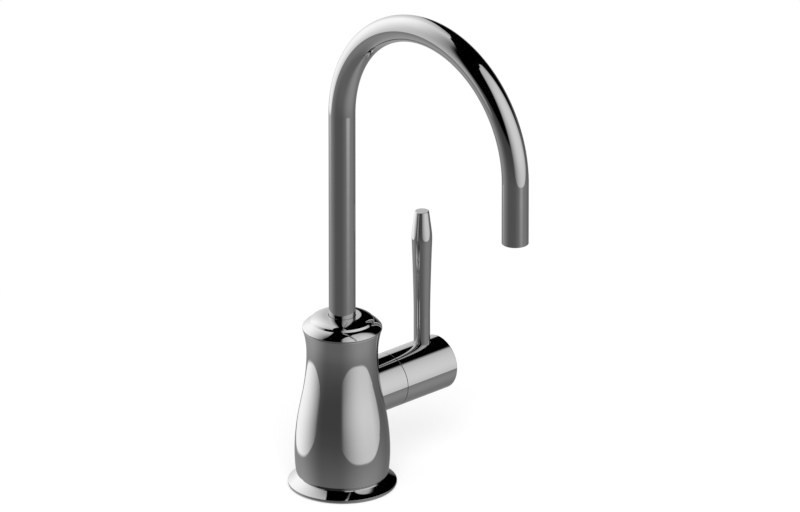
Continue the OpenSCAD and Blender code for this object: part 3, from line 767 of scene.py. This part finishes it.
# Bright plate: nearly a mirror, with slow changes of polish and the faintest unevenness under the plate
def chromeFinish():
    material, tree, shader, where = newMaterial("brightChrome")
    polish = noise(tree, where, scale=45)
    colour = blendColours(tree, polish, (0.545, 0.545, 0.546), (0.574, 0.574, 0.575))
    put(tree, shader.inputs["Base Color"], colour)
    put(tree, shader.inputs["Metallic"], 1.0)
    put(tree, shader.inputs["Specular Tint"], (0.88, 0.88, 0.88, 1.0))  # edge-on it grows little brighter
    gloss = noise(tree, where, scale=160)
    put(tree, shader.inputs["Roughness"], between(tree, gloss, low=0.02, high=0.045))
    bump(tree, shader, noise(tree, where, scale=220), strength=0.04, depth=0.01)
    return material


# Turned brass: fine rings of the tool along the part, and a little tarnish
def brassFinish():
    material, tree, shader, where = newMaterial("turnedBrass")
    rings = newNode(tree, "TexWave", {"bands_direction": "Z"}, Vector=where, Scale=1200.0, Distortion=0.6)
    tarnish = noise(tree, where, scale=120, detail=5.0)
    colour = blendColours(tree, tarnish, (0.66, 0.48, 0.22), (0.82, 0.66, 0.37))
    put(tree, shader.inputs["Base Color"], colour)
    put(tree, shader.inputs["Metallic"], 1.0)
    put(tree, shader.inputs["Roughness"], between(tree, tarnish, low=0.22, high=0.4))
    bump(tree, shader, rings.outputs["Fac"], strength=0.15, depth=0.02)
    return material


# Zinc plate: grains of slightly different brightness
def zincFinish():
    material, tree, shader, where = newMaterial("zincPlate")
    grain = newNode(tree, "TexVoronoi", Vector=where, Scale=650.0).outputs["Color"]
    tone = newNode(tree, "SeparateColor", Color=grain).outputs["Red"]
    colour = blendColours(tree, tone, (0.53, 0.54, 0.57), (0.66, 0.67, 0.69))
    put(tree, shader.inputs["Base Color"], colour)
    put(tree, shader.inputs["Metallic"], 1.0)
    put(tree, shader.inputs["Roughness"], between(tree, tone, low=0.28, high=0.42, start=0.0, end=1.0))
    bump(tree, shader, noise(tree, where, scale=900), strength=0.1, depth=0.02)
    return material


# Moulded rubber: matt, with a fine skin and paler bloom in patches
def rubberFinish():
    material, tree, shader, where = newMaterial("mouldedRubber")
    bloom = noise(tree, where, scale=180, detail=4.0)
    colour = blendColours(tree, bloom, (0.03, 0.03, 0.031), (0.065, 0.065, 0.067))
    put(tree, shader.inputs["Base Color"], colour)
    put(tree, shader.inputs["Roughness"], between(tree, bloom, low=0.65, high=0.85))
    bump(tree, shader, noise(tree, where, scale=2500), strength=0.25, depth=0.03)
    return material


# Moulded acetal: off-white, satin, faintly clouded
def acetalFinish():
    material, tree, shader, where = newMaterial("mouldedAcetal")
    cloud = noise(tree, where, scale=260, detail=3.0)
    colour = blendColours(tree, cloud, (0.84, 0.84, 0.8), (0.91, 0.91, 0.88))
    put(tree, shader.inputs["Base Color"], colour)
    put(tree, shader.inputs["Roughness"], between(tree, cloud, low=0.34, high=0.5))
    bump(tree, shader, noise(tree, where, scale=1800), strength=0.1, depth=0.02)
    return material


# Lapped ceramic: smooth, with fine grain
def ceramicFinish():
    material, tree, shader, where = newMaterial("lappedCeramic")
    grain = noise(tree, where, scale=1500, detail=4.0)
    colour = blendColours(tree, grain, (0.88, 0.87, 0.83), (0.94, 0.93, 0.9))
    put(tree, shader.inputs["Base Color"], colour)
    put(tree, shader.inputs["Roughness"], between(tree, grain, low=0.12, high=0.24))
    bump(tree, shader, grain, strength=0.05, depth=0.01)
    return material


finishes = {
    "chrome": chromeFinish(), "brass": brassFinish(), "steel": zincFinish(),
    "rubber": rubberFinish(), "acetal": acetalFinish(), "ceramic": ceramicFinish(),
}
nodeSlots = {row["node"]: row["material_slot"] for row in frame["record"]["subparts"]}
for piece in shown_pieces():
    slotName = piece.get("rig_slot") or nodeSlots[piece.name]
    piece.data.materials.clear()
    piece.data.materials.append(finishes[slotName])
print("stage: finishes on")

# The photograph's view: where the tap's origin is in the 800 by 512 picture, and pixels for a millimetre
view = {
    "azimuth": -43.9, "elevation": 23.0, "pixelsPerMm": 2.114, "originX": 342.4, "originY": 482.73,
    "width": 800, "height": 512, "lens": 1000.0, "sensor": 36.0,
    "clip": (0.1, 60.0),  # in metres
}
turnAngle = math.radians(view["azimuth"])
tiltAngle = math.radians(view["elevation"])
pictureRight = Vector((math.cos(turnAngle), math.sin(turnAngle), 0))
towardsCamera = Vector((math.sin(turnAngle), -math.cos(turnAngle), 0))


# The camera stands far off with a long lens, so that the view is nearly parallel. It aims at the middle of
# the picture, worked out from where the origin is in it.
def makeCamera():
    back = towardsCamera * math.cos(tiltAngle) + Vector((0, 0, math.sin(tiltAngle)))
    up = back.cross(pictureRight)
    scale = view["pixelsPerMm"]
    aim = pictureRight * ((view["width"] / 2 - view["originX"]) / scale)
    aim += up * ((view["originY"] - view["height"] / 2) / scale)
    distance = view["width"] / scale * view["lens"] / view["sensor"]
    data = bpy.data.cameras.new("camera")
    data.lens = view["lens"]
    data.sensor_width = view["sensor"]
    data.clip_start, data.clip_end = view["clip"]
    camera = bpy.data.objects.new("camera", data)
    bpy.context.scene.collection.objects.link(camera)
    facing = (-back).to_track_quat("-Z", "Y")
    camera.matrix_world = Matrix.LocRotScale((aim + back * distance) * mm, facing, None)
    bpy.context.scene.camera = camera


makeCamera()
bpy.context.scene.view_settings.view_transform = "Standard"


# The studio: what the chrome shows, by direction. Angles in degrees: azimuth from the camera's side, to the
# picture's right, and elevation. A pair is where a change starts and where it ends, and a third value is what
# it comes down to. Tones are as they appear in chrome of chromeTone, where 1 is white.
studio = {
    "chromeTone": 0.556, "even": 0.8, "wrapAt": 155.0,
    "right": {
        "near": (-6.0, 5.0), "far": (116.0, 105.0), "middle": 53.0, "half": 52.0, "soft": 0.7,
        "bottom": -22.65, "bottomCurve": 8.3, "top": 73.5, "topCurve": 9.0,
        "peak": 0.585, "rise": (-10.0, 62.0), "lean": 0.25, "leanFrom": -10.0,
        "fall": (84.0, 118.0, 0.6), "high": (40.0, 75.0, 0.72), "low": (2.0, -20.0, 0.9)},
    "left": {
        "near": (-63.0, -73.0), "far": (-182.6, -180.4), "middle": -125.0, "half": 52.0, "soft": 0.7,
        "bottom": -22.5, "bottomCurve": 9.0, "top": 73.5, "topCurve": 9.0,
        "peak": 0.91, "rise": (-60.0, -140.0), "lean": 0.0, "leanFrom": 0.0,
        "fall": (-148.0, -180.0, 0.5), "high": (25.0, 75.0, 0.55), "low": (2.0, -20.0, 0.94)},
    "table": {"horizon": (6.5, -1.0), "far": 0.0445, "near": 0.105, "fade": (-2.0, -42.0), "litFar": 0.6},
    "tableRight": {"rise": (-12.0, 66.0), "fall": (85.0, 135.0), "tone": 0.12, "rest": 0.45},
    "tableLeft": {"rise": (-48.0, -126.0), "fall": (-168.0, -208.0), "tone": 0.19, "rest": 0.3},
}


def makeStudio():
    world = bpy.data.worlds.new("studio")
    bpy.context.scene.world = world
    world.use_nodes = True
    tree = world.node_tree
    tree.nodes.clear()

    def calc(operation, *values):
        made = tree.nodes.new("ShaderNodeMath")
        made.operation = operation
        for socket, value in zip(made.inputs, values):
            put(tree, socket, value)
        return made.outputs[0]

    # Smooth step from 0 at the first value to 1 at the second, or between two other ends
    def step(value, ends, low=0.0, high=1.0):
        made = newNode(
            tree, "MapRange", {"interpolation_type": "SMOOTHSTEP"},
            Value=value, From_Min=ends[0], From_Max=ends[1], To_Min=low, To_Max=high)
        return made.outputs["Result"]

    def dot(direction, vector):
        made = tree.nodes.new("ShaderNodeVectorMath")
        made.operation = "DOT_PRODUCT"
        tree.links.new(direction, made.inputs[0])
        made.inputs[1].default_value = vector
        return made.outputs["Value"]

    direction = tree.nodes.new("ShaderNodeTexCoord").outputs["Generated"]
    azimuth = calc("DEGREES", calc("ARCTAN2", dot(direction, pictureRight), dot(direction, towardsCamera)))
    azimuth = calc("WRAP", azimuth, studio["wrapAt"], studio["wrapAt"] - 360)
    elevation = calc("DEGREES", calc("ARCSINE", dot(direction, (0, 0, 1))))

    # A tall soft box: two upright edges, a bottom that curves up with the third power of the distance from
    # its middle and a top that curves down with the fourth. Its tone grows across it as a quarter of a sine
    # wave, and is less towards its far side, its top and its bottom.
    def softBox(box):
        aside = calc("DIVIDE", calc("SUBTRACT", azimuth, box["middle"]), box["half"])
        square = calc("MULTIPLY", aside, aside)
        third = calc("MULTIPLY", square, calc("ABSOLUTE", aside))
        fourth = calc("MULTIPLY", square, square)
        bottom = calc("MULTIPLY_ADD", third, box["bottomCurve"], box["bottom"])
        top = calc("MULTIPLY_ADD", fourth, -box["topCurve"], box["top"])
        soft = (-box["soft"], box["soft"])
        inside = calc("MULTIPLY", step(azimuth, box["near"]), step(azimuth, box["far"]))
        inside = calc("MULTIPLY", inside, step(calc("SUBTRACT", elevation, bottom), soft))
        inside = calc("MULTIPLY", inside, step(calc("SUBTRACT", top, elevation), soft))
        lean = calc("MULTIPLY", calc("SUBTRACT", elevation, box["leanFrom"]), box["lean"])
        share = between(tree, calc("ADD", azimuth, lean), 0.0, math.pi / 2, *box["rise"])
        tone = calc("MULTIPLY", calc("SINE", share), box["peak"])
        fallStart, fallEnd, fallTo = box["fall"]
        tone = calc("MULTIPLY", tone, between(tree, azimuth, 1.0, fallTo, fallStart, fallEnd))
        for end in ("high", "low"):
            tone = calc("MULTIPLY", tone, step(elevation, box[end][:2], 1.0, box[end][2]))
        return inside, tone

    def over(under, inside, tone):
        uncovered = calc("MULTIPLY", under, calc("SUBTRACT", 1.0, inside))
        return calc("ADD", uncovered, calc("MULTIPLY", inside, tone))

    # The table grows lighter towards the tap, and more so on the two sides that the boxes light
    table = studio["table"]
    tone = step(elevation, table["fade"], table["far"], table["near"])
    nearness = step(elevation, table["fade"], table["litFar"], 1.0)
    for name in ("tableRight", "tableLeft"):
        side = studio[name]
        lit = step(azimuth, side["rise"], 0.0, side["tone"])
        lit = calc("MULTIPLY", lit, step(azimuth, side["fall"], 1.0, side["rest"]))
        tone = calc("ADD", tone, calc("MULTIPLY", lit, nearness))
    tone = calc("MULTIPLY", tone, step(elevation, table["horizon"]))
    for name in ("right", "left"):
        inside, boxTone = softBox(studio[name])
        tone = over(tone, inside, boxTone)
    tone = calc("DIVIDE", tone, studio["chromeTone"])

    # White to the camera, the studio to the chrome, and an even light to all else
    def background(strength):
        return newNode(tree, "Background", Color=(1, 1, 1, 1), Strength=strength).outputs[0]

    rays = tree.nodes.new("ShaderNodeLightPath").outputs
    unseen = mixed(tree, rays["Is Glossy Ray"], background(studio["even"]), background(tone))
    newNode(tree, "OutputWorld", Surface=mixed(tree, rays["Is Camera Ray"], unseen, background(1.0)))


makeStudio()

floor = {
    "z": -0.05, "holeR": 16.0, "r": 900.0, "rings": 24, "segments": 96,
    "colour": (0.94, 0.94, 0.94, 1.0), "roughness": 0.9, "white": (0.55, 1.0), "fade": (90.0, 280.0),
}


# A level ring round the shank. To the camera it is white, with part of its shadow near the tap. It is open
# from below, and left out of the chrome, which shows the studio's table instead.
def makeFloor():
    share = np.linspace(0, 1, floor["rings"])[:, None] ** 2
    radius = floor["holeR"] + (floor["r"] - floor["holeR"]) * share
    angle = 2 * math.pi * np.arange(floor["segments"])[None, :] / floor["segments"]
    points = placed(uprightAxis, radius, np.full((1, 1), floor["z"]), angle)
    grid = newGrid()
    bridge(grid, addPoints(grid, points, 0 * points + uprightAxis[1])[::-1])
    obj = addMesh("floor", grid)
    material, tree, shader, where = newMaterial("paleFloor")
    put(tree, shader.inputs["Base Color"], floor["colour"])
    put(tree, shader.inputs["Roughness"], floor["roughness"])
    put(tree, shader.inputs["Specular IOR Level"], 0.0)
    white = newNode(tree, "Emission", Color=(1, 1, 1, 1), Strength=1.0).outputs[0]
    clear = tree.nodes.new("ShaderNodeBsdfTransparent").outputs[0]
    rays = tree.nodes.new("ShaderNodeLightPath").outputs
    away = newNode(tree, "VectorMath", {"operation": "LENGTH"}, Vector=where).outputs["Value"]
    fade = np.array(floor["fade"]) * mm
    share = newNode(tree, "Math", {"operation": "MULTIPLY"})
    put(tree, share.inputs[0], rays["Is Camera Ray"])
    put(tree, share.inputs[1], between(tree, away, *floor["white"], *fade))
    back = tree.nodes.new("ShaderNodeNewGeometry").outputs["Backfacing"]
    above = mixed(tree, share.outputs[0], shader.outputs[0], white)
    put(tree, tree.nodes["Material Output"].inputs["Surface"], mixed(tree, back, above, clear))
    obj.data.materials.append(material)
    obj.visible_glossy = False


lamp = {"place": (-0.5, -0.55, 0.9), "size": 0.7, "power": 9.0}  # in metres and watts


# One soft lamp that faces the origin and stays out of the chrome
def makeLamp():
    data = bpy.data.lights.new("softLamp", "AREA")
    data.size = lamp["size"]
    data.energy = lamp["power"]
    obj = bpy.data.objects.new("softLamp", data)
    bpy.context.scene.collection.objects.link(obj)
    place = Vector(lamp["place"])
    obj.matrix_world = Matrix.LocRotScale(place, (-place).to_track_quat("-Z", "Y"), None)
    obj.visible_glossy = False


makeFloor()
makeLamp()
print("stage: studio, floor and lamp made")
